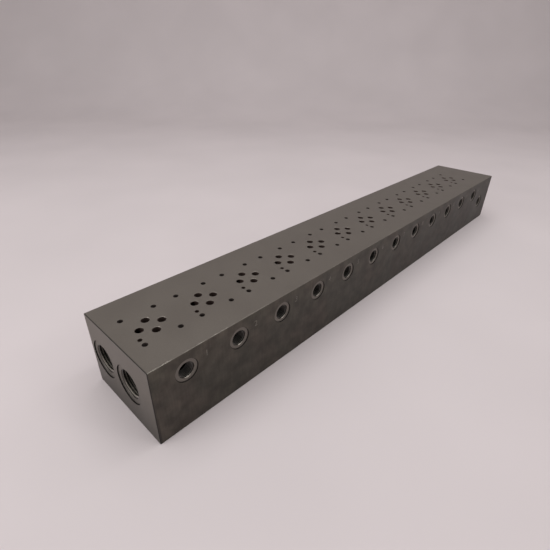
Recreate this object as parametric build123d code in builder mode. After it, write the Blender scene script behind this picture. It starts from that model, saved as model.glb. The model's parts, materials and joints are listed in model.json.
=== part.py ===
"""Hydraulic bar manifold: one steel bar that carries a row of twelve size 03 valves.

The bar is one machined block. Two galleries run through its length, one for pressure and one
for return. Each valve station on the top face has the ISO 4401-03 pattern of ports and fixing
holes, and its two work ports come out at straight-thread ports on the long sides.

Frame: millimetres, +Z up, +X along the bar from the near end to the far end, +Y from the front
side to the rear side. The origin is the centre of the underside.
"""

import os
from math import atan2, degrees, hypot, radians, tan

from build123d import *

# ---- Bar stock ----
block_width = 101.6
block_height = 76.2
edge_break = 0.5

# ---- Row of valve stations on the top face ----
station_count = 12
station_pitch = 53.975
first_station_margin = 31.75  # near end face to the middle of the first station
last_station_margin = 79.375  # middle of the last station to the far end face
port_line_setback = 47.625  # front side to the line through every P and T port

# ---- One station, ISO 4401-03, measured from its middle ----
pressure_tank_spread = 20.8  # P to T, along the bar
work_port_a_offset = 8.8  # A stands this far behind the port line
work_port_b_offset = 8.7  # B stands this far in front of it
rear_fixing_offset = 21.5
rear_fixing_spread = 31.0
front_fixing_offset = 19.0
front_fixing_spread = 32.5
pin_offset = 11.5  # the locating pin hole stands in front of the port line, in line with a fixing

valve_port_diameter = 7.1
valve_port_break = 0.4
valve_port_break_angle = 90
fixing_diameter = 5.0  # M5, bored at the thread's major diameter
fixing_depth = 14.0
pin_hole_diameter = 4.0
pin_hole_depth = 5.0

# ---- Drillings ----
drill_point_angle = 118.0
gallery_diameter = 22.2
gallery_height = 38.1
front_gallery_setback = 38.1  # front side to the return gallery
rear_gallery_setback = 21.6  # rear side to the pressure gallery
cross_drill_diameter = 7.9
cross_drill_overrun = 4.0  # past the axis of the drilling that it meets
pressure_mouth_depth = 4.0
pressure_drill_diameter = 5.0  # the slanting drillings from the P ports to the pressure gallery

# ---- Straight-thread ports: 9/16-18 on the sides, 1-1/16-12 on the ends ----
side_spotface_diameter = 21.3
side_spotface_depth = 0.8
side_lead_in_diameter = 14.9
side_lead_in_depth = 0.6
side_thread_diameter = 14.3
side_bore_depth = 15.5

end_spotface_diameter = 36.5
end_spotface_depth = 1.0
end_lead_in_diameter = 27.8
end_lead_in_depth = 0.7
end_thread_diameter = 27.0
end_bore_depth = 22.0

side_port_drop = 18.2  # top face down to the axis of the side ports
gauge_port_margin = 39.7  # far end face to the extra port on the front side

# ---- Tapped holes in the underside that hold the bar down ----
mounting_diameter = 10.0
mounting_depth = 18.0
mounting_end_margin = 50.8
mounting_side_margin = 12.7

# ---- Places that follow from the sizes above ----
block_length = first_station_margin + (station_count - 1) * station_pitch + last_station_margin
station_middle_y = port_line_setback - block_width / 2
first_station_x = first_station_margin - block_length / 2
station_xs = [first_station_x + n * station_pitch for n in range(station_count)]
side_port_height = block_height - side_port_drop
front_gallery_y = front_gallery_setback - block_width / 2
rear_gallery_y = block_width / 2 - rear_gallery_setback
gauge_port_x = block_length / 2 - gauge_port_margin
cross_drill_a_depth = block_width / 2 - station_middle_y - work_port_a_offset + cross_drill_overrun
cross_drill_b_depth = block_width / 2 + station_middle_y - work_port_b_offset + cross_drill_overrun
valve_port_radius = valve_port_diameter / 2
valve_port_mouth_radius = valve_port_radius + valve_port_break
mounting_spread_x = block_length - 2 * mounting_end_margin
mounting_spread_y = block_width - 2 * mounting_side_margin

# Faces as work planes: local x runs to the right as each face is looked at, and z out of it
top_face = Plane(origin=(0, 0, block_height), x_dir=(1, 0, 0), z_dir=(0, 0, 1))
bottom_face = Plane(origin=(0, 0, 0), x_dir=(1, 0, 0), z_dir=(0, 0, -1))
front_face = Plane(origin=(0, -block_width / 2, 0), x_dir=(1, 0, 0), z_dir=(0, -1, 0))
rear_face = Plane(origin=(0, block_width / 2, 0), x_dir=(-1, 0, 0), z_dir=(0, 1, 0))
near_end = Plane(origin=(-block_length / 2, 0, 0), x_dir=(0, -1, 0), z_dir=(-1, 0, 0))
far_end = Plane(origin=(block_length / 2, 0, 0), x_dir=(0, 1, 0), z_dir=(1, 0, 0))


def point_depth(diameter):
    """Height of the cone that a drill of this diameter leaves at the bottom of its hole."""
    return diameter / 2 / tan(radians(drill_point_angle / 2))


def turned_cutter(outline):
    """Solid turned about Z from (radius, depth) points, mouth at the origin and cutting down -Z."""
    points = [(0, 0)] + [(radius, -depth) for radius, depth in outline]
    with BuildPart() as cutter:
        with BuildSketch(Plane.XZ):
            with BuildLine():
                Polyline(*points, close=True)
            make_face()
        revolve(axis=Axis.Z)
    return cutter.part


def threaded_port(spotface, spotface_depth, lead_in, lead_in_depth, thread, bore_depth):
    """Port: spotface, lead-in cone, and a bore at the thread's major diameter with a drill point."""
    return turned_cutter(
        [
            (spotface / 2, 0),
            (spotface / 2, spotface_depth),
            (lead_in / 2, spotface_depth),
            (thread / 2, spotface_depth + lead_in_depth),
            (thread / 2, bore_depth),
            (0, bore_depth + point_depth(thread)),
        ]
    )


side_port = threaded_port(
    side_spotface_diameter,
    side_spotface_depth,
    side_lead_in_diameter,
    side_lead_in_depth,
    side_thread_diameter,
    side_bore_depth,
)
end_port = threaded_port(
    end_spotface_diameter,
    end_spotface_depth,
    end_lead_in_diameter,
    end_lead_in_depth,
    end_thread_diameter,
    end_bore_depth,
)

# ---- Station holes: each kind as places around the middle of a station ----
half_ports = pressure_tank_spread / 2
half_rear_fixing = rear_fixing_spread / 2
half_front_fixing = front_fixing_spread / 2
pressure_places = [(-half_ports, 0)]
tank_places = [(half_ports, 0)]
work_port_a_places = [(0, work_port_a_offset)]
work_port_b_places = [(0, -work_port_b_offset)]
pin_places = [(-half_front_fixing, -pin_offset)]
fixing_places = [
    (half_rear_fixing, rear_fixing_offset),
    (half_front_fixing, -front_fixing_offset),
    (-half_front_fixing, -front_fixing_offset),
    (-half_rear_fixing, rear_fixing_offset),
]


def along_the_row(places):
    """These places around the middle of a station, repeated at every station."""
    return [(x + dx, station_middle_y + dy) for x in station_xs for dx, dy in places]


def valve_port(depth):
    """Valve port of this depth, with a broken edge at its mouth."""
    CounterSinkHole(valve_port_radius, valve_port_mouth_radius, depth, valve_port_break_angle)


# The P drilling slants from the mouth of its port to the axis of the pressure gallery
pressure_run = rear_gallery_y - station_middle_y
gallery_drop = block_height - gallery_height
pressure_tilt = degrees(atan2(pressure_run, gallery_drop))
slants = [Location((x, y, 0), (pressure_tilt, 0, 0)) for x, y in along_the_row(pressure_places)]
with BuildPart() as pressure_drill:
    with BuildSketch(Plane.XY):
        Circle(pressure_drill_diameter / 2)
    extrude(amount=-hypot(pressure_run, gallery_drop))

with BuildPart() as manifold_block:
    # Bar stock with broken edges
    with BuildSketch(Plane.XY):
        Rectangle(block_length, block_width)
    extrude(amount=block_height)
    chamfer(manifold_block.edges(), length=edge_break)

    # Two galleries through the whole length, with a threaded port at both ends of each
    with Locations(near_end):
        with Locations((-front_gallery_y, gallery_height), (-rear_gallery_y, gallery_height)):
            Hole(gallery_diameter / 2)
            add(end_port, mode=Mode.SUBTRACT)
    with Locations(far_end):
        with Locations((front_gallery_y, gallery_height), (rear_gallery_y, gallery_height)):
            add(end_port, mode=Mode.SUBTRACT)

    # Side ports, drilled on past the axis of the A or B drilling that they meet
    with Locations(front_face):
        with Locations(*[(x, side_port_height) for x in station_xs]):
            add(side_port, mode=Mode.SUBTRACT)
            Hole(cross_drill_diameter / 2, depth=cross_drill_b_depth)
        with Locations((gauge_port_x, gallery_height)):
            add(side_port, mode=Mode.SUBTRACT)
            Hole(cross_drill_diameter / 2, depth=front_gallery_setback)
    with Locations(rear_face):
        with Locations(*[(-x, side_port_height) for x in station_xs]):
            add(side_port, mode=Mode.SUBTRACT)
            Hole(cross_drill_diameter / 2, depth=cross_drill_a_depth)

    # Valve ports: A and B end on the side ports' axis, T ends on the axis of the return gallery,
    # and P is a short straight mouth with the slanting drilling inside it
    with Locations(top_face):
        with Locations(*along_the_row(work_port_a_places + work_port_b_places)):
            valve_port(side_port_drop)
        with Locations(*along_the_row(tank_places)):
            valve_port(gallery_drop)
        with Locations(*along_the_row(pressure_places)):
            valve_port(pressure_mouth_depth)
        with Locations(*slants):
            add(pressure_drill.part, mode=Mode.SUBTRACT)

    # Tapped fixing holes and the hole for each valve's locating pin
    with Locations(top_face):
        with Locations(*along_the_row(fixing_places)):
            Hole(fixing_diameter / 2, depth=fixing_depth)
        with Locations(*along_the_row(pin_places)):
            Hole(pin_hole_diameter / 2, depth=pin_hole_depth)

    # Tapped holes that hold the bar down
    with Locations(bottom_face):
        with GridLocations(mounting_spread_x, mounting_spread_y, 2, 2):
            Hole(mounting_diameter / 2, depth=mounting_depth)

manifold_block.part.label = "manifold_block"
os.makedirs("parts", exist_ok=True)
export_step(manifold_block.part, "parts/manifold_block.step")
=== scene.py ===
"""Dresses the hydraulic bar manifold: steel finishes, cut threads, stamped port numbers and the stage."""

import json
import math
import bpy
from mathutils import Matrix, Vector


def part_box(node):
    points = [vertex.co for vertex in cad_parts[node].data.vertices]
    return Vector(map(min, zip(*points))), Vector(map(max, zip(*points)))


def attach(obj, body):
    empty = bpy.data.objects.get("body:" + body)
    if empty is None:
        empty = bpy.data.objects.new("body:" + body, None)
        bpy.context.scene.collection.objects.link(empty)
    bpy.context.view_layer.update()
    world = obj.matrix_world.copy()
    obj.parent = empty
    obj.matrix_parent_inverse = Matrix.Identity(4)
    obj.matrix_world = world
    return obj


bl_info = {
    "name": "Hydraulic Bar Manifold",
    "version": (1, 0, 0),
    "blender": (4, 5, 0),
    "location": "View3D > Sidebar > Manifold",
    "description": "Finishes and fine detail for a twelve-station hydraulic bar manifold",
    "category": "Object",
}

import bmesh
import bpy
from mathutils import Euler, Matrix, Vector

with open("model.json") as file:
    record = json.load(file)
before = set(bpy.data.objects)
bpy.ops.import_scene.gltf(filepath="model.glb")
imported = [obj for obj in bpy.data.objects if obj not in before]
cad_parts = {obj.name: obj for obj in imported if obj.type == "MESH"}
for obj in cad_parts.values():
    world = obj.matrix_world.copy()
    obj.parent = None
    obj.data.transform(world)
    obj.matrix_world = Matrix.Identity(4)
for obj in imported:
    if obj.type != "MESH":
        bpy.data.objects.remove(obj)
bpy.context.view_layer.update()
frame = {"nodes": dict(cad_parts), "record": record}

BLOCK = "manifold_block"
BLOCK_LOW, BLOCK_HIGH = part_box(BLOCK)
MOUNTS = {mount["name"]: mount for mount in frame["record"]["mounts"]}
MM = 0.001
INCH = 25.4 * MM

# Points closer together than this are one point
SAME_POINT = 0.001 * MM

# A point this close to a face of the bar lies on that face
ON_FACE = 0.05 * MM

# The broken edges of the bar are a little narrower than this
EDGE_BAND = 0.55 * MM

# The largest part of a broken edge's normal is under this, and that of a face square to the bar is one
SLANT_LIMIT = 0.85

# Side ports lie deeper under the top face than this
TOP_HOLE_ZONE = 7 * MM

# The thread of an end port ends before this depth, and no side port comes so near to the end
END_PORT_ZONE = 23 * MM

# Depths between which the oil film sets in
TOP_HOLE_FILM = (0.12 * MM, 0.45 * MM)
END_PORT_FILM = (1.5 * MM, 1.9 * MM)
SIDE_PORT_FILM = (1.4 * MM, 1.8 * MM)

# The smoothly cut lead-in and bore of a side port: its depths, and its reach from the port's axis
SIDE_LEAD_IN_START = 0.82 * MM
SIDE_BORE_END = 15 * MM
SIDE_LEAD_IN_REACH = 7.67 * MM

# Painted shade lies on a spotface's wall, which stands in shadow, and this far in from it, and the margin
# takes in the wall itself
CORNER_SHADE_WIDTH = 0.5 * MM
WALL_MARGIN = 0.2 * MM

# The fixing holes of a station stand on two rows, and the rear row is the shorter one
REAR_FIXING_SPREAD = 31.0 * MM
FRONT_FIXING_SPREAD = 32.5 * MM

# A 60 degree thread, in pitches: its depth, half the width of its crest, and half that of its root
THREAD_DEPTH = 0.5413
HALF_CREST = 0.125
HALF_ROOT = 0.5

# The first turn of a thread starts this part of a pitch down from where the bore has its full width
THREAD_START = 0.17

# Part of a turn in which a thread grows to its full depth, and in which it runs out
THREAD_GROWTH = 1 / 3

# The root of a thread is sunk this far into the wall of its bore
ROOT_SINK = 0.05 * MM

# Size of the type whose figures are one unit tall
TYPE_SIZE = 1.4

# Degrees from one row of the backdrop's curve to the next
SWEEP_STEP = 6


# ---------------------------------------------------------------- settings


class SteelSettings(bpy.types.PropertyGroup):
    """Colours and grain of the bar's surfaces. Every colour is an sRGB hex colour."""

    machined: bpy.props.StringProperty(
        name="Machined face", description="Oxide over freshly cut steel", default="#6F6962"
    )
    stock: bpy.props.StringProperty(
        name="Stock side", description="Oxide over the drawn skin of the bar", default="#46423A"
    )
    stock_warm: bpy.props.StringProperty(
        name="Stock side, warm patch", description="Redder patches in that skin", default="#4B443D"
    )
    # Worn steel on the broken edges, also the painted highlight where the top edges and hole rims glint
    worn: bpy.props.StringProperty(
        name="Worn edge", description="Steel that shows through on rubbed edges", default="#8F8981"
    )
    oil: bpy.props.StringProperty(
        name="Oil film", description="Brown film of oil over the steel in the holes", default="#4E403B"
    )
    # Painted shade in the corner of each spotface, where its wall stands in shadow
    residue: bpy.props.FloatProperty(
        name="Residue", description="Shade of the dirt in the corner of a spotface", default=0.2
    )
    patch_size: bpy.props.FloatProperty(
        name="Patch size", description="Width of a patch in the oxide", default=38 * MM, unit="LENGTH"
    )
    grain_size: bpy.props.FloatProperty(
        name="Grain size", description="Width of a grain in the oxide", default=0.9 * MM, unit="LENGTH"
    )
    streak_width: bpy.props.FloatProperty(
        name="Streak width",
        description="Width of a streak on the long sides",
        default=1.6 * MM,
        unit="LENGTH",
    )
    side_spotface: bpy.props.FloatProperty(
        name="Side spotface",
        description="Diameter of a side port's spotface",
        default=21.3 * MM,
        unit="LENGTH",
    )
    end_spotface: bpy.props.FloatProperty(
        name="End spotface",
        description="Diameter of an end port's spotface",
        default=36.5 * MM,
        unit="LENGTH",
    )
    pocket: bpy.props.FloatProperty(
        name="Spotface depth",
        description="Depth of the deeper of the two spotfaces",
        default=1.0 * MM,
        unit="LENGTH",
    )


class ThreadSettings(bpy.types.PropertyGroup):
    """Pitches, lengths and roundness of the threads in the ports and screw holes."""

    side_run: bpy.props.FloatProperty(
        name="Side port thread",
        description="Length of full thread in a side port",
        default=11 * MM,
        unit="LENGTH",
    )
    end_run: bpy.props.FloatProperty(
        name="End port thread",
        description="Length of full thread in an end port",
        default=17 * MM,
        unit="LENGTH",
    )
    fixing_run: bpy.props.FloatProperty(
        name="Fixing thread",
        description="Length of thread in a fixing hole",
        default=12 * MM,
        unit="LENGTH",
    )
    mounting_run: bpy.props.FloatProperty(
        name="Hold-down thread",
        description="Length of thread in a hold-down hole",
        default=16 * MM,
        unit="LENGTH",
    )
    side_pitch: bpy.props.FloatProperty(
        name="Side port pitch", description="9/16-18 thread", default=INCH / 18, unit="LENGTH"
    )
    end_pitch: bpy.props.FloatProperty(
        name="End port pitch", description="1-1/16-12 thread", default=INCH / 12, unit="LENGTH"
    )
    fixing_pitch: bpy.props.FloatProperty(
        name="Fixing pitch", description="M5 coarse thread", default=0.8 * MM, unit="LENGTH"
    )
    mounting_pitch: bpy.props.FloatProperty(
        name="Hold-down pitch", description="M10 coarse thread", default=1.5 * MM, unit="LENGTH"
    )
    side_sides: bpy.props.IntProperty(
        name="Side port roundness", description="Straight pieces in one turn", default=32
    )
    end_sides: bpy.props.IntProperty(
        name="End port roundness", description="Straight pieces in one turn", default=48
    )
    fixing_sides: bpy.props.IntProperty(
        name="Fixing roundness", description="Straight pieces in one turn", default=16
    )
    mounting_sides: bpy.props.IntProperty(
        name="Hold-down roundness", description="Straight pieces in one turn", default=24
    )
    colour: bpy.props.StringProperty(
        name="Thread", description="Oiled thread flanks, as an sRGB hex colour", default="#5E5A53"
    )


class StampSettings(bpy.types.PropertyGroup):
    """Plain numbers stamped beside the ports on the front side."""

    height: bpy.props.FloatProperty(
        name="Height", description="Height of a figure", default=6.0 * MM, unit="LENGTH"
    )
    aside: bpy.props.FloatProperty(
        name="Aside",
        description="From a port's axis along the bar to its figure",
        default=19.5 * MM,
        unit="LENGTH",
    )
    drop: bpy.props.FloatProperty(
        name="Drop",
        description="From the top face down to the middle of a figure",
        default=12.7 * MM,
        unit="LENGTH",
    )
    depth: bpy.props.FloatProperty(
        name="Burr",
        description="How far the burr of a figure stands proud",
        default=0.03 * MM,
        unit="LENGTH",
    )
    colour: bpy.props.StringProperty(
        name="Stamp", description="Bruised steel in a figure, as an sRGB hex colour", default="#6F6A62"
    )


class StageSettings(bpy.types.PropertyGroup):
    """Floor, light and camera."""

    floor: bpy.props.StringProperty(
        name="Floor", description="Pale cloth under the bar, as an sRGB hex colour", default="#D3CACB"
    )
    surroundings: bpy.props.StringProperty(
        name="Surroundings",
        description="Colour of the even light, as an sRGB hex colour",
        default="#D8D5D4",
    )
    sky: bpy.props.FloatProperty(
        name="Even light", description="Strength of the even light", default=0.66
    )
    key_power: bpy.props.FloatProperty(
        name="Key light", description="Power of the soft light overhead", default=12.0, unit="POWER"
    )
    end_power: bpy.props.FloatProperty(
        name="End light", description="Power of the soft light at the near end", default=7.0, unit="POWER"
    )
    edge_power: bpy.props.FloatProperty(
        name="Edge light",
        description="Power of the small light that picks out edges",
        default=1.2,
        unit="POWER",
    )
    tube_power: bpy.props.FloatProperty(
        name="Tube light",
        description="Power of the long light that glints in the ports",
        default=1.6,
        unit="POWER",
    )
    floor_reach: bpy.props.FloatProperty(
        name="Floor reach", description="How far the floor comes forward", default=4.0, unit="LENGTH"
    )
    floor_width: bpy.props.FloatProperty(
        name="Floor width", description="Width of the floor and the backdrop", default=10.0, unit="LENGTH"
    )
    sweep_start: bpy.props.FloatProperty(
        name="Sweep start", description="Where the floor begins to curve up", default=1.2, unit="LENGTH"
    )
    sweep_radius: bpy.props.FloatProperty(
        name="Sweep radius", description="Radius of that curve", default=0.8, unit="LENGTH"
    )
    backdrop_height: bpy.props.FloatProperty(
        name="Backdrop height", description="Top of the backdrop", default=4.0, unit="LENGTH"
    )
    backdrop_turn: bpy.props.FloatProperty(
        name="Backdrop turn",
        description="Sets the backdrop square to the line of sight, so that it closes the view",
        default=math.radians(-46.2),
        subtype="ANGLE",
    )
    lens: bpy.props.FloatProperty(name="Lens", description="Focal length in millimetres", default=25.43)
    camera_place: bpy.props.FloatVectorProperty(
        name="Camera place",
        description="Where the camera stands, above the near end",
        default=(-435.7 * MM, -249.6 * MM, 273.5 * MM),
        subtype="TRANSLATION",
    )
    camera_turn: bpy.props.FloatVectorProperty(
        name="Camera turn",
        description="Turn of the camera, which looks down along the bar",
        default=[math.radians(angle) for angle in (59.61, -0.93, -46.25)],
        subtype="EULER",
    )


# ---------------------------------------------------------------- helpers


def linear(hex_colour):
    """An sRGB hex colour as linear red, green, blue and alpha."""
    values = [int(hex_colour[i : i + 2], 16) / 255 for i in (1, 3, 5)]
    return [v / 12.92 if v <= 0.04045 else ((v + 0.055) / 1.055) ** 2.4 for v in values] + [1.0]


def add_node(tree, kind, inputs=None, **settings):
    """A new node with its settings, and its inputs linked to sockets or set to values."""
    node = tree.nodes.new(kind)
    for name, value in settings.items():
        setattr(node, name, value)
    for key, value in (inputs or {}).items():
        if isinstance(value, bpy.types.NodeSocket):
            tree.links.new(value, node.inputs[key])
        else:
            node.inputs[key].default_value = value
    return node


def new_object(name, data):
    """An object at the origin that shows this mesh, text, lamp or camera, linked to the scene."""
    thing = bpy.data.objects.new(name, data)
    bpy.context.scene.collection.objects.link(thing)
    return thing


def ride_on_block(piece):
    """The piece is attached to the root body."""
    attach(piece, "root")


# ---------------------------------------------------------------- nodes


def maths(tree, operation, a, b=0.0):
    """The result socket of a Math node."""
    return add_node(tree, "ShaderNodeMath", {0: a, 1: b}, operation=operation).outputs[0]


def multiply(tree, *factors):
    """The product of all these values."""
    product = factors[0]
    for factor in factors[1:]:
        product = maths(tree, "MULTIPLY", product, factor)
    return product


def less(tree, value, limit):
    """One where the value is less than the limit, and nothing elsewhere."""
    return maths(tree, "LESS_THAN", value, limit)


def between(tree, value, low, high):
    """One where the value lies between the two numbers, and nothing elsewhere."""
    return multiply(tree, maths(tree, "GREATER_THAN", value, low), less(tree, value, high))


def ramp(tree, value, low, high, at_low=0.0, at_high=1.0):
    """A value that goes evenly from one number to another as the input goes from low to high."""
    limits = {"Value": value, "From Min": low, "From Max": high, "To Min": at_low, "To Max": at_high}
    return add_node(tree, "ShaderNodeMapRange", limits).outputs[0]


def choose(tree, mask, outside, inside):
    """One value where the mask is nothing, and another where it is one."""
    return ramp(tree, mask, 0.0, 1.0, outside, inside)


def noise(tree, place, size, detail=3.0):
    """Noise whose blotches are about this size."""
    values = {"Vector": place, "Scale": 1 / size, "Detail": detail}
    return add_node(tree, "ShaderNodeTexNoise", values).outputs["Fac"]


def blend_colours(tree, factor, first, second):
    """A mix of two colours."""
    values = {"Factor": factor, 6: first, 7: second}
    return add_node(tree, "ShaderNodeMix", values, data_type="RGBA").outputs[2]


def shade_colour(tree, colour, factor):
    """The colour made lighter or darker by a factor. A plain colour loses its alpha on the way."""
    vector = colour[:3] if isinstance(colour, list) else colour
    values = {0: vector, "Scale": factor}
    return add_node(tree, "ShaderNodeVectorMath", values, operation="SCALE").outputs[0]


def shade_where(tree, colour, mask, factor):
    """The colour made lighter or darker by a factor where the mask is one."""
    return shade_colour(tree, colour, choose(tree, mask, 1.0, factor))


def distance_from(tree, across, up, middle_across, middle_up):
    """Distance on a face from an axis that is square to it."""
    sides = {
        "X": maths(tree, "SUBTRACT", across, middle_across),
        "Y": maths(tree, "SUBTRACT", up, middle_up),
    }
    offset = add_node(tree, "ShaderNodeCombineXYZ", sides).outputs[0]
    return add_node(tree, "ShaderNodeVectorMath", {0: offset}, operation="LENGTH").outputs["Value"]


# ---------------------------------------------------------------- places on the bar


def depths(tree, axes):
    """How deep a point lies below the top face, below the nearer end, and below the nearer long side."""
    below_top = maths(tree, "SUBTRACT", BLOCK_HIGH.z, axes["Z"])
    inside_end = maths(tree, "SUBTRACT", BLOCK_HIGH.x, maths(tree, "ABSOLUTE", axes["X"]))
    inside_side = maths(tree, "SUBTRACT", BLOCK_HIGH.y, maths(tree, "ABSOLUTE", axes["Y"]))
    return below_top, inside_end, inside_side


def openness(tree, axes, depth):
    """One on the open faces, falling to nothing down a hole, where an oil film covers the steel."""
    below_top, inside_end, inside_side = depth
    in_top_hole = ramp(tree, below_top, *TOP_HOLE_FILM, 1.0, 0.0)
    in_top_hole = multiply(tree, in_top_hole, less(tree, below_top, TOP_HOLE_ZONE))
    in_end_port = ramp(tree, inside_end, *END_PORT_FILM, 1.0, 0.0)
    in_side_port = ramp(tree, maths(tree, "MINIMUM", inside_side, axes["Z"]), *SIDE_PORT_FILM, 1.0, 0.0)
    return maths(tree, "MAXIMUM", in_top_hole, maths(tree, "MAXIMUM", in_end_port, in_side_port))


def side_ports(side):
    """The work ports of one long side, in order from the near end."""
    return [mount for name, mount in sorted(MOUNTS.items()) if name.startswith(side + "_port_")]


def end_ports(*ends):
    """The large ports in these ends of the bar."""
    return [mount for name, mount in MOUNTS.items() if name.startswith(ends) and name.endswith("_port")]


def port_places(tree, axes):
    """Distances on the faces from the nearest side port's axis, and from the nearest end port's axis."""
    first, second = [Vector(port["pos_m"]) for port in side_ports("front")[:2]]
    pitch = second.x - first.x
    past = maths(tree, "SUBTRACT", axes["X"], first.x - pitch / 2)
    past = maths(tree, "FLOORED_MODULO", past, pitch)
    from_row = distance_from(tree, past, axes["Z"], pitch / 2, first.z)
    gauge = Vector(MOUNTS["front_gauge_port"]["pos_m"])
    from_gauge = distance_from(tree, axes["X"], axes["Z"], gauge.x, gauge.z)
    from_side_port = maths(tree, "MINIMUM", from_row, from_gauge)
    middles = [port["pos_m"][1:] for port in end_ports("near")]
    from_ends = [distance_from(tree, axes["Y"], axes["Z"], *middle) for middle in middles]
    return from_side_port, maths(tree, "MINIMUM", *from_ends)


def spotface_corners(tree, depth, places, settings):
    """One in the corner between the wall and the floor of every spotface."""
    _, inside_end, inside_side = depth
    from_side_port, from_end_port = places
    corners = []
    for inside, distance, diameter in (
        (inside_side, from_side_port, settings.side_spotface),
        (inside_end, from_end_port, settings.end_spotface),
    ):
        in_pocket = between(tree, inside, ON_FACE, settings.pocket + ON_FACE)
        at_rim = between(tree, distance, diameter / 2 - CORNER_SHADE_WIDTH, diameter / 2 + WALL_MARGIN)
        corners.append(multiply(tree, in_pocket, at_rim))
    return maths(tree, "MAXIMUM", *corners)


def slanted_faces(tree, normal):
    """One on the broken edges, which face none of the main directions squarely."""
    facing = add_node(tree, "ShaderNodeVectorMath", {0: normal}, operation="ABSOLUTE").outputs[0]
    facing = add_node(tree, "ShaderNodeSeparateXYZ", {0: facing}).outputs
    sideways = maths(tree, "MAXIMUM", facing["X"], facing["Y"])
    return less(tree, maths(tree, "MAXIMUM", sideways, facing["Z"]), SLANT_LIMIT)


def rubbed_top_edge(tree, place, axes, depth, slanted):
    """One in short stretches of the top face's edges and hole rims on the near half, which are worn and
    carry a painted highlight.
    """
    below_top, inside_end, _ = depth
    at_top = multiply(tree, slanted, less(tree, below_top, 0.22 * MM))
    off_the_ends = maths(tree, "GREATER_THAN", inside_end, EDGE_BAND)
    stretches = ramp(tree, noise(tree, place, 9 * MM), 0.42, 0.58)
    near_half = ramp(tree, axes["X"], -100 * MM, 100 * MM, 1.0, 0.0)
    return multiply(tree, at_top, off_the_ends, stretches, near_half)


# ---------------------------------------------------------------- materials


def new_material(name):
    """An empty node material, with its tree and its output node."""
    material = bpy.data.materials.new(name)
    material.use_nodes = True
    material.node_tree.nodes.clear()
    return material, material.node_tree


def finish_material(tree, values):
    """Gives the material a plain surface shader with these inputs."""
    shader = add_node(tree, "ShaderNodeBsdfPrincipled", values)
    add_node(tree, "ShaderNodeOutputMaterial", {"Surface": shader.outputs["BSDF"]})


def drawn_skin(tree, place, axes, patches, settings):
    """Colour of the drawn skin: warm patches, blotches and fine streaks, brighter towards the top, and with
    painted shade towards the far end.
    """
    warm = ramp(tree, patches, 0.45, 0.65)
    skin = blend_colours(tree, warm, linear(settings.stock), linear(settings.stock_warm))

    # Streaks run up the side, and are a dozen times as long as wide
    across, along = 1 / settings.streak_width, 0.08 / settings.streak_width
    values = {"Vector": place, "Scale": (across, across, along)}
    streaks = noise(tree, add_node(tree, "ShaderNodeMapping", values).outputs[0], 1.0)
    streaks = ramp(tree, streaks, 0.3, 0.7, 0.9, 1.1)
    blotches = ramp(tree, noise(tree, place, settings.patch_size / 3, 4.0), 0.35, 0.65, 0.75, 1.3)
    # The skin is brighter towards the top
    brighter_upwards = ramp(tree, axes["Z"], 40 * MM, 76 * MM, 0.9, 1.2)
    # Painted shade: the skin darkens towards the far end, where it is seen at a grazing angle
    painted_far_shade = ramp(tree, axes["X"], BLOCK_LOW.x, BLOCK_HIGH.x, 1.0, 0.68)
    return shade_colour(tree, skin, multiply(tree, streaks, blotches, brighter_upwards, painted_far_shade))


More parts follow.
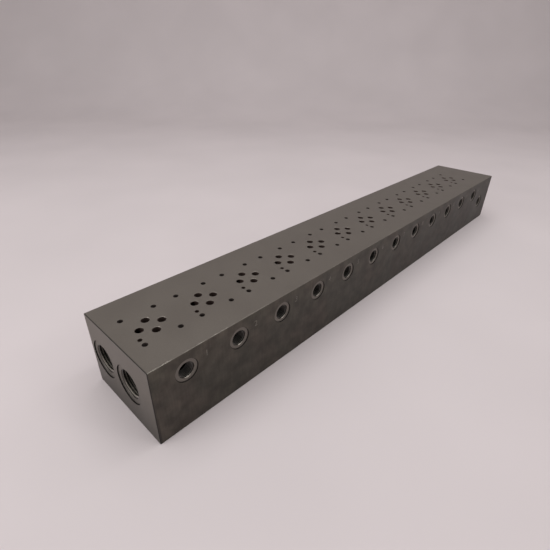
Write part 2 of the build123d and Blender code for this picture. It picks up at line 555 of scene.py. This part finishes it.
def oxide_steel(settings):
    """Black-oxide steel, milled on top and drawn on the sides.

    The cut faces show as a smooth warm grey, and the drawn skin as darker, blotchy metal with fine streaks.
    """
    material, tree = new_material("black_oxide_steel_milled_and_drawn")
    coordinates = add_node(tree, "ShaderNodeTexCoord").outputs
    place = coordinates["Object"]
    axes = add_node(tree, "ShaderNodeSeparateXYZ", {0: place}).outputs
    depth = depths(tree, axes)
    below_top, inside_end, inside_side = depth
    places = port_places(tree, axes)
    patches = noise(tree, place, settings.patch_size, 5.0)
    grain = noise(tree, place, settings.grain_size, 4.0)

    # The drawn skin is left on the two long sides only: every pocket in them is cut steel
    on_side = less(tree, inside_side, ON_FACE)
    skin = drawn_skin(tree, place, axes, patches, settings)
    colour = blend_colours(tree, on_side, linear(settings.machined), skin)
    patchy = ramp(tree, patches, 0.3, 0.7, 0.97, 1.03)
    grainy = ramp(tree, grain, 0.3, 0.7, 0.96, 1.04)
    colour = shade_colour(tree, colour, multiply(tree, patchy, grainy))

    # Painted shade: the ends grow darker towards the underside, standing in for the floor's contact shadow
    # that they reflect
    painted_end_shade = ramp(tree, axes["Z"], 5 * MM, 50 * MM, 0.5, 1.0)
    colour = shade_where(tree, colour, less(tree, inside_end, 2 * MM), painted_end_shade)

    # Painted shade in the corner of each spotface, where its wall stands in shadow, and oil in the holes,
    # with painted shade making the ports the darker ones
    colour = shade_where(tree, colour, spotface_corners(tree, depth, places, settings), settings.residue)
    top_hole = less(tree, below_top, TOP_HOLE_ZONE)
    # Painted shade: the oil film in the ports is a third as bright as in the top holes
    oil = shade_colour(tree, linear(settings.oil), choose(tree, top_hole, 0.3, 1.0))
    colour = blend_colours(tree, openness(tree, axes, depth), oil, colour)

    # Broken edges stay darker round the ends, and along the top they are worn and carry a painted highlight
    # where they glint
    slanted = slanted_faces(tree, coordinates["Normal"])
    colour = shade_where(tree, colour, between(tree, inside_end, 0.02 * MM, 1.0 * MM), 0.75)
    at_end = multiply(tree, slanted, less(tree, inside_end, EDGE_BAND))
    colour = shade_where(tree, colour, at_end, 0.2)
    rubbed_and_glinting = rubbed_top_edge(tree, place, axes, depth, slanted)
    colour = blend_colours(tree, rubbed_and_glinting, colour, linear(settings.worn))

    # The lead-ins and bores of the side ports are cut smooth, so that they glint
    in_bore = between(tree, inside_side, SIDE_LEAD_IN_START, SIDE_BORE_END)
    cut_smooth = multiply(tree, in_bore, less(tree, places[0], SIDE_LEAD_IN_REACH))
    rough = choose(tree, cut_smooth, ramp(tree, patches, 0.3, 0.7, 0.44, 0.54), 0.16)
    rough = choose(tree, rubbed_and_glinting, rough, 0.25)
    relief = {"Height": grain, "Strength": 0.15, "Distance": 0.05 * MM}
    bump = add_node(tree, "ShaderNodeBump", relief).outputs[0]
    finish_material(tree, {"Base Color": colour, "Metallic": 0.55, "Roughness": rough, "Normal": bump})
    return material


def tapped_port_steel(settings):
    """Tapped steel with an oil film: dark flanks with a sharp glint where a crest catches the light,
    painted highlights on the crests and painted shade in the roots and deep down.
    """
    material, tree = new_material("tapped_steel_oiled")
    place = add_node(tree, "ShaderNodeTexCoord").outputs["Object"]
    axes = add_node(tree, "ShaderNodeSeparateXYZ", {0: place}).outputs
    _, inside_end, inside_side = depths(tree, axes)
    from_side_port, from_end_port = port_places(tree, axes)

    # Painted highlights on the crests and on the first turn of a side port, and painted shade in the roots
    side_crest = ramp(tree, from_side_port, 6.5 * MM, 7.0 * MM, 0.55, 0.12)
    first_turn = ramp(tree, inside_side, 1.7 * MM, 2.2 * MM, 0.5, 0.0)
    side_shade = maths(tree, "ADD", side_crest, first_turn)
    end_shade = ramp(tree, from_end_port, 12.5 * MM, 13.2 * MM, 1.4, 0.3)
    in_end = less(tree, inside_end, END_PORT_ZONE)
    shade = choose(tree, in_end, side_shade, end_shade)
    mottle = ramp(tree, noise(tree, place, 1.5 * MM), 0.3, 0.7, 0.8, 1.2)
    # Painted shade: the threads grow darker deeper down the ports
    deep_down = ramp(tree, maths(tree, "MINIMUM", inside_end, inside_side), 5 * MM, 14 * MM, 1.0, 0.3)
    colour = shade_colour(tree, linear(settings.colour), multiply(tree, shade, mottle, deep_down))

    # Painted reflection: the lower wall just inside an end port is lightened where it reflects the pale
    # floor
    low_down = ramp(tree, axes["Z"], 28 * MM, 34 * MM, 1.0, 0.0)
    at_mouth = ramp(tree, inside_end, 1.0 * MM, 9.0 * MM, 1.0, 0.0)
    colour = shade_where(tree, colour, multiply(tree, in_end, low_down, at_mouth), 2.6)
    values = {
        "Base Color": colour,
        "Metallic": 0.7,
        "Roughness": 0.3,
        "Coat Weight": 0.5,
        "Coat Roughness": 0.12,
    }
    finish_material(tree, values)
    return material


def tapped_screw_steel(settings):
    """Tapped steel with old, dried oil, brown and almost matt, painted dark as shade down the screw holes.
    """
    material, tree = new_material("tapped_steel_dried_oil")
    place = add_node(tree, "ShaderNodeTexCoord").outputs["Object"]
    # Painted shade: the oil's colour is darkened to about a third
    mottle = ramp(tree, noise(tree, place, 1.5 * MM), 0.3, 0.7, 0.24, 0.36)
    values = {
        "Base Color": shade_colour(tree, linear(settings.oil), mottle),
        "Metallic": 0.7,
        "Roughness": 0.55,
        "Coat Weight": 0.05,
        "Coat Roughness": 0.12,
    }
    finish_material(tree, values)
    return material


def stamped_steel(settings):
    """Cold-stamped steel: the burr of each figure is a little brighter than the skin around it."""
    material, tree = new_material("stamped_steel_bruised")
    place = add_node(tree, "ShaderNodeTexCoord").outputs["Object"]
    shade = ramp(tree, noise(tree, place, 1.2 * MM), 0.35, 0.65, 0.6, 1.3)
    colour = shade_colour(tree, linear(settings.colour), shade)
    finish_material(tree, {"Base Color": colour, "Metallic": 0.6, "Roughness": 0.45})
    return material


def cloth_floor(settings):
    """Plain woven cotton, pale and matt, that shows as a soft near-white ground."""
    material, tree = new_material("pale_cotton_sheet")
    place = add_node(tree, "ShaderNodeTexCoord").outputs["Object"]
    shade = ramp(tree, noise(tree, place, 0.25, 2.0), 0.3, 0.7, 0.97, 1.03)
    colour = shade_colour(tree, linear(settings.floor), shade)
    finish_material(tree, {"Base Color": colour, "Roughness": 0.9})
    return material


# ---------------------------------------------------------------- threads


def hole_turn(axis):
    """Turn that points a thread's mouth, which is made facing +Z, along the hole's axis."""
    return Vector((0, 0, 1)).rotation_difference(Vector(axis)).to_euler()


def hole_points(holes):
    """A mesh of loose points, one at each hole's mouth, that also carries each hole's turn."""
    mesh = bpy.data.meshes.new("hole_points")
    mesh.from_pydata([place for place, axis in holes], [], [])
    turns = mesh.attributes.new("turn", "FLOAT_VECTOR", "POINT")
    for value, (place, axis) in zip(turns.data, holes):
        value.vector = hole_turn(axis)
    return mesh


def thread_tree():
    """Geometry nodes that wind a V-shaped ridge down each hole, with its crest towards the axis."""
    tree = bpy.data.node_groups.new("wound_thread", "GeometryNodeTree")
    face = tree.interface
    face.new_socket("Geometry", in_out="INPUT", socket_type="NodeSocketGeometry")
    for name, kind in (
        ("Wall Radius", "NodeSocketFloat"),
        ("Pitch", "NodeSocketFloat"),
        ("Length", "NodeSocketFloat"),
        ("Sides", "NodeSocketInt"),
        ("Finish", "NodeSocketMaterial"),
    ):
        face.new_socket(name, in_out="INPUT", socket_type=kind)
    face.new_socket("Geometry", in_out="OUTPUT", socket_type="NodeSocketGeometry")
    given = add_node(tree, "NodeGroupInput").outputs

    def maths_here(operation, a, b=0.0):
        return maths(tree, operation, a, b)

    # The ridge is a grid: long way down the helix, and five points round its section, the last on the first
    run = maths_here("SUBTRACT", given["Length"], given["Pitch"])
    turns = maths_here("DIVIDE", run, given["Pitch"])
    steps = maths_here("CEIL", maths_here("MULTIPLY", turns, given["Sides"]))
    size = {"Size X": 1.0, "Size Y": 1.0, "Vertices X": maths_here("ADD", steps, 1.0), "Vertices Y": 5}
    strip = add_node(tree, "GeometryNodeMeshGrid", size)
    position = add_node(tree, "GeometryNodeInputPosition").outputs[0]
    at = add_node(tree, "ShaderNodeSeparateXYZ", {0: position}).outputs
    along = maths_here("ADD", at["X"], 0.5)
    corner = maths_here("ROUND", maths_here("MULTIPLY", maths_here("ADD", at["Y"], 0.5), 4.0))

    # Section: root, crest, crest, root. Corners 1 and 2 are the crest, and 2 and 3 are the lower half
    is_crest = less(tree, maths_here("ABSOLUTE", maths_here("SUBTRACT", corner, 1.5)), 1.0)
    is_lower = less(tree, maths_here("ABSOLUTE", maths_here("SUBTRACT", corner, 2.5)), 1.0)
    sign = maths_here("SUBTRACT", maths_here("MULTIPLY", is_lower, 2.0), 1.0)
    narrowing = maths_here("MULTIPLY", is_crest, HALF_ROOT - HALF_CREST)
    half_width = maths_here("SUBTRACT", HALF_ROOT, narrowing)
    nearer_end = maths_here("MINIMUM", along, maths_here("SUBTRACT", 1.0, along))
    growth = maths_here("MINIMUM", multiply(tree, nearer_end, turns, 1 / THREAD_GROWTH), 1.0)
    height = multiply(tree, is_crest, growth, given["Pitch"], THREAD_DEPTH)
    radius = maths_here("SUBTRACT", maths_here("ADD", given["Wall Radius"], ROOT_SINK), height)
    shift = multiply(tree, sign, half_width, given["Pitch"], growth)
    start = multiply(tree, given["Pitch"], THREAD_START)
    down = maths_here("ADD", multiply(tree, along, run), start)
    angle = multiply(tree, along, turns, math.tau)
    helix = {
        "X": maths_here("MULTIPLY", radius, maths_here("COSINE", angle)),
        "Y": maths_here("MULTIPLY", radius, maths_here("SINE", angle)),
        "Z": maths_here("SUBTRACT", shift, down),
    }
    spot = add_node(tree, "ShaderNodeCombineXYZ", helix).outputs[0]
    moved = {"Geometry": strip.outputs["Mesh"], "Position": spot}
    wound = add_node(tree, "GeometryNodeSetPosition", moved).outputs[0]
    merged = {"Geometry": wound, "Distance": 2 * SAME_POINT}
    closed = add_node(tree, "GeometryNodeMergeByDistance", merged).outputs[0]

    # One ridge goes into each hole, and the result is plain geometry with its finish
    turn = add_node(tree, "GeometryNodeInputNamedAttribute", {"Name": "turn"}, data_type="FLOAT_VECTOR")
    turned = add_node(tree, "FunctionNodeEulerToRotation", {0: turn.outputs["Attribute"]}).outputs[0]
    placed = {"Points": given["Geometry"], "Instance": closed, "Rotation": turned}
    rows = add_node(tree, "GeometryNodeInstanceOnPoints", placed).outputs[0]
    real = add_node(tree, "GeometryNodeRealizeInstances", {"Geometry": rows}).outputs[0]
    coating = {"Geometry": real, "Material": given["Finish"]}
    coated = add_node(tree, "GeometryNodeSetMaterial", coating).outputs[0]
    add_node(tree, "NodeGroupOutput", {0: coated})
    return tree


def bake_nodes(name, mesh, tree, values):
    """Runs the node tree on the mesh and returns its result as a plain mesh object."""
    source = new_object(name + "_points", mesh)
    modifier = source.modifiers.new("nodes", "NODES")
    modifier.node_group = tree
    for item in tree.interface.items_tree:
        if item.in_out == "INPUT" and item.name in values:
            modifier[item.identifier] = values[item.name]
    bpy.context.view_layer.update()
    evaluated = source.evaluated_get(bpy.context.evaluated_depsgraph_get())
    result = bpy.data.meshes.new_from_object(evaluated)
    result.name = name
    bpy.data.objects.remove(source)
    face_outwards(result)
    return new_object(name, result)


def face_outwards(mesh):
    """Merges doubles and turns every face of a closed mesh outwards."""
    work = bmesh.new()
    work.from_mesh(mesh)
    bmesh.ops.remove_doubles(work, verts=work.verts, dist=SAME_POINT)
    bmesh.ops.dissolve_degenerate(work, edges=work.edges, dist=SAME_POINT / 10)
    bmesh.ops.recalc_face_normals(work, faces=work.faces)
    work.to_mesh(mesh)
    work.free()


def make_threads(name, holes, radius_mm, kind, finish):
    """One piece with the threads of these (mouth, axis) holes, sized by the settings of their kind."""
    settings = bpy.context.scene.manifold_threads
    values = {
        "Wall Radius": radius_mm * MM,
        "Pitch": getattr(settings, kind + "_pitch"),
        "Length": getattr(settings, kind + "_run"),
        "Sides": getattr(settings, kind + "_sides"),
        "Finish": finish,
    }
    ride_on_block(bake_nodes(name, hole_points(holes), shared_thread_tree(), values))


def shared_thread_tree():
    """The thread tree, built the first time it is asked for."""
    return bpy.data.node_groups.get("wound_thread") or thread_tree()


def shared_port_finish():
    """The material of the port threads, built the first time it is asked for."""
    made = bpy.data.materials.get("tapped_steel_oiled")
    return made or tapped_port_steel(bpy.context.scene.manifold_threads)


def port_holes(ports):
    """Mouth and axis of each of these ports."""
    return [(Vector(port["pos_m"]), port["axis"]) for port in ports]


def fixing_holes(station):
    """Mouth and axis of the four fixing holes of a station."""
    middle = Vector(station["pos_m"])
    half_depth = station["dims"]["spacing_y_mm"] / 2 * MM
    holes = []
    for side, spread in ((1, REAR_FIXING_SPREAD), (-1, FRONT_FIXING_SPREAD)):
        for end in (-1, 1):
            offset = Vector((end * spread / 2, side * half_depth, 0))
            holes.append((middle + offset, station["axis"]))
    return holes


def hold_down_holes(rows):
    """Mouth and axis of the hold-down holes in the underside."""
    middle, dims = Vector(rows["pos_m"]), rows["dims"]
    half_x, half_y = dims["spacing_x_mm"] / 2 * MM, dims["spacing_y_mm"] / 2 * MM
    places = [Vector((x, y, 0)) for x in (-half_x, half_x) for y in (-half_y, half_y)]
    return [(middle + place, rows["axis"]) for place in places]


# ---------------------------------------------------------------- stamps


def figure_mesh(number, port, settings):
    """A plain number that stands upright on the front side, beside its port."""
    curve = bpy.data.curves.new("figure", "FONT")
    curve.body = str(number)
    curve.size = settings.height * TYPE_SIZE
    curve.align_x = "CENTER"
    curve.align_y = "CENTER"
    curve.extrude = settings.depth
    curve.resolution_u = 3
    figure = new_object("figure", curve)
    bpy.context.view_layer.update()
    mesh = bpy.data.meshes.new_from_object(figure)
    bpy.data.objects.remove(figure)
    place = Vector((port["pos_m"][0] + settings.aside, BLOCK_LOW.y, BLOCK_HIGH.z - settings.drop))
    mesh.transform(Matrix.Rotation(math.pi / 2, 4, "X"))
    mesh.transform(Matrix.Translation(place))
    return mesh


# ---------------------------------------------------------------- stage


def lay_floor(finish, settings):
    """A wide floor under the bar that curves up into a backdrop."""
    bend_x, radius = settings.sweep_start, settings.sweep_radius
    outline = [(-settings.floor_reach, 0.0), (bend_x, 0.0)]
    for angle in range(SWEEP_STEP, 91, SWEEP_STEP):
        turn = math.radians(angle)
        outline.append((bend_x + radius * math.sin(turn), radius - radius * math.cos(turn)))
    outline.append((bend_x + radius, settings.backdrop_height))
    half_width = settings.floor_width / 2
    work = bmesh.new()
    left, right = [
        [work.verts.new((side, depth, height)) for depth, height in outline]
        for side in (-half_width, half_width)
    ]
    for n in range(len(outline) - 1):
        work.faces.new((left[n], right[n], right[n + 1], left[n + 1]))
    mesh = bpy.data.meshes.new("floor")
    work.to_mesh(mesh)
    work.free()
    mesh.transform(Matrix.Rotation(settings.backdrop_turn, 4, "Z"))
    mesh.materials.append(finish)
    for polygon in mesh.polygons:
        polygon.use_smooth = True
    new_object("floor", mesh)


def hang_light(name, place, target, size, power, breadth=None):
    """A soft light that looks at the target, square unless its breadth is given."""
    lamp = bpy.data.lights.new(name, "AREA")
    lamp.shape = "RECTANGLE"
    lamp.size = size
    lamp.size_y = breadth or size
    lamp.energy = power
    holder = new_object(name, lamp)
    holder.location = place
    holder.rotation_euler = (Vector(target) - Vector(place)).to_track_quat("-Z", "Y").to_euler()


def set_sky(strength, colour):
    """Even surroundings that light the bar."""
    world = bpy.data.worlds.new("surroundings")
    bpy.context.scene.world = world
    world.use_nodes = True
    tree = world.node_tree
    tree.nodes.clear()
    back = add_node(tree, "ShaderNodeBackground", {"Color": colour, "Strength": strength})
    add_node(tree, "ShaderNodeOutputWorld", {"Surface": back.outputs[0]})


def set_camera(settings):
    """The camera stands above the near end and looks down along the bar."""
    camera = bpy.data.cameras.new("camera")
    camera.lens = settings.lens
    camera.sensor_width = 36  # millimetres, a full frame
    holder = new_object("camera", camera)
    holder.location = settings.camera_place
    holder.rotation_euler = settings.camera_turn
    bpy.context.scene.camera = holder


# ---------------------------------------------------------------- operators


class ManifoldBlockFinish(bpy.types.Operator):
    """Give the bar its black-oxide finish"""

    bl_idname = "manifold.block_finish"
    bl_label = "Bar Finish"

    def execute(self, context):
        block = frame["nodes"][BLOCK]
        block.data.materials.clear()
        block.data.materials.append(oxide_steel(context.scene.manifold_steel))
        return {"FINISHED"}


class ManifoldSideThreads(bpy.types.Operator):
    """Cut the threads of the ports on the long sides"""

    bl_idname = "manifold.side_threads"
    bl_label = "Side Port Threads"

    def execute(self, context):
        gauge = MOUNTS["front_gauge_port"]
        holes = port_holes([gauge, *side_ports("front"), *side_ports("rear")])
        make_threads("side_port_threads", holes, gauge["dims"]["r_mm"], "side", shared_port_finish())
        return {"FINISHED"}


class ManifoldEndThreads(bpy.types.Operator):
    """Cut the threads of the large ports in both ends"""

    bl_idname = "manifold.end_threads"
    bl_label = "End Port Threads"

    def execute(self, context):
        ports = end_ports("near", "far")
        radius_mm = ports[0]["dims"]["r_mm"]
        make_threads("end_port_threads", port_holes(ports), radius_mm, "end", shared_port_finish())
        return {"FINISHED"}


class ManifoldFixingThreads(bpy.types.Operator):
    """Cut the threads of the valve fixing holes and the hold-down holes"""

    bl_idname = "manifold.fixing_threads"
    bl_label = "Screw Hole Threads"

    def execute(self, context):
        finish = tapped_screw_steel(context.scene.manifold_steel)
        stations = [mount for name, mount in MOUNTS.items() if name.startswith("station_")]
        holes = [hole for station in stations for hole in fixing_holes(station)]
        make_threads("fixing_threads", holes, stations[0]["dims"]["hole_r_mm"], "fixing", finish)
        rows = MOUNTS["hold_down_holes"]
        holes = hold_down_holes(rows)
        make_threads("hold_down_threads", holes, rows["dims"]["hole_r_mm"], "mounting", finish)
        return {"FINISHED"}


class ManifoldStamps(bpy.types.Operator):
    """Stamp a plain number beside each port of the front side"""

    bl_idname = "manifold.stamps"
    bl_label = "Stamped Numbers"

    def execute(self, context):
        settings = context.scene.manifold_stamps
        work = bmesh.new()
        for number, port in enumerate(side_ports("front"), 1):
            work.from_mesh(figure_mesh(number, port, settings))
        bmesh.ops.remove_doubles(work, verts=work.verts, dist=SAME_POINT)
        mesh = bpy.data.meshes.new("stamped_numbers")
        work.to_mesh(mesh)
        work.free()
        mesh.materials.append(stamped_steel(settings))
        ride_on_block(new_object("stamped_numbers", mesh))
        return {"FINISHED"}


class ManifoldStage(bpy.types.Operator):
    """Lay the floor and set the light and the camera"""

    bl_idname = "manifold.stage"
    bl_label = "Stage"

    def execute(self, context):
        settings = context.scene.manifold_stage
        lay_floor(cloth_floor(settings), settings)
        hang_light("key_light", (-0.15, 0.0, 1.6), (0.0, 0.0, 0.05), 1.6, settings.key_power)
        hang_light("end_light", (-1.5, 0.3, 0.9), (-0.2, 0.0, 0.05), 1.0, settings.end_power)
        hang_light("edge_light", (0.3, -1.15, 1.06), (-0.3, -0.05, 0.06), 0.25, settings.edge_power)
        hang_light("tube_light", (0.5, -0.27, 1.26), (0.5, -0.27, 0.0), 1.3, settings.tube_power, 0.1)
        set_sky(settings.sky, linear(settings.surroundings))
        set_camera(settings)
        return {"FINISHED"}


# ---------------------------------------------------------------- panel and registration


class ManifoldPanel(bpy.types.Panel):
    """Lists the steps that dress the bar."""

    bl_idname = "VIEW3D_PT_manifold"
    bl_label = "Bar Manifold"
    bl_space_type = "VIEW_3D"
    bl_region_type = "UI"
    bl_category = "Manifold"

    def draw(self, context):
        for step in STEPS:
            self.layout.operator(step.bl_idname)


SETTINGS = {
    "manifold_steel": SteelSettings,
    "manifold_threads": ThreadSettings,
    "manifold_stamps": StampSettings,
    "manifold_stage": StageSettings,
}
STEPS = (
    ManifoldBlockFinish,
    ManifoldSideThreads,
    ManifoldEndThreads,
    ManifoldFixingThreads,
    ManifoldStamps,
    ManifoldStage,
)


def register():
    for group in SETTINGS.values():
        bpy.utils.register_class(group)
    for name, group in SETTINGS.items():
        setattr(bpy.types.Scene, name, bpy.props.PointerProperty(type=group))
    for item in (*STEPS, ManifoldPanel):
        bpy.utils.register_class(item)


def unregister():
    for item in (ManifoldPanel, *reversed(STEPS)):
        bpy.utils.unregister_class(item)
    for name, group in reversed(list(SETTINGS.items())):
        delattr(bpy.types.Scene, name)
        bpy.utils.unregister_class(group)


def main():
    """Dresses the bar step by step."""
    register()
    bpy.context.scene.view_settings.view_transform = "Standard"
    bpy.ops.manifold.block_finish()
    bpy.ops.manifold.side_threads()
    bpy.ops.manifold.end_threads()
    bpy.ops.manifold.fixing_threads()
    bpy.ops.manifold.stamps()
    bpy.ops.manifold.stage()


if __name__ == "__main__":
    main()
